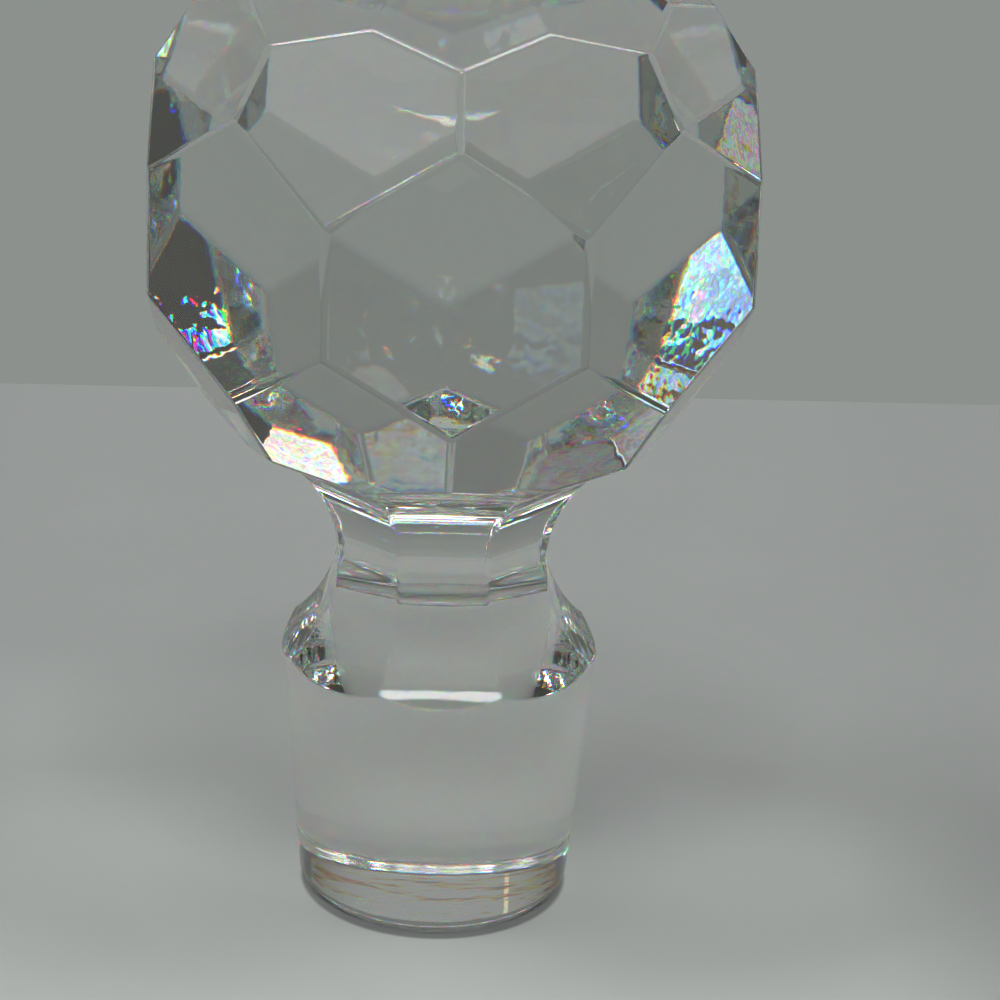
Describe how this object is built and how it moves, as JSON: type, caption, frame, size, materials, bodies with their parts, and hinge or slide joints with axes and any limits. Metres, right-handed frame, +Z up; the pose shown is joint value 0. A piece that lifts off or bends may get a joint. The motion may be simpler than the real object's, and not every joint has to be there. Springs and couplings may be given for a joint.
{
  "type": "glass decanter stopper",
  "caption": "Solid cut-crystal decanter stopper: a ball of flat honeycomb facets on a fluted waist, over a ground taper plug that closes a bottle's mouth.",
  "frame": {"origin": "centre of the flat base of the plug, on the stopper's axis", "axes": "+Z up along the stopper's axis from the plug to the ball; -Y is the front, which a belt facet of the ball faces; +X to the right"},
  "size_m": [0.05, 0.05, 0.0871],
  "materials": {
    "crystal": "clear lead crystal, flats and flutes acid polished, edges softly rounded, taper ground and polished"
  },
  "bodies": {
    "root": {"stopper": "crystal"}
  },
  "joints": []
}
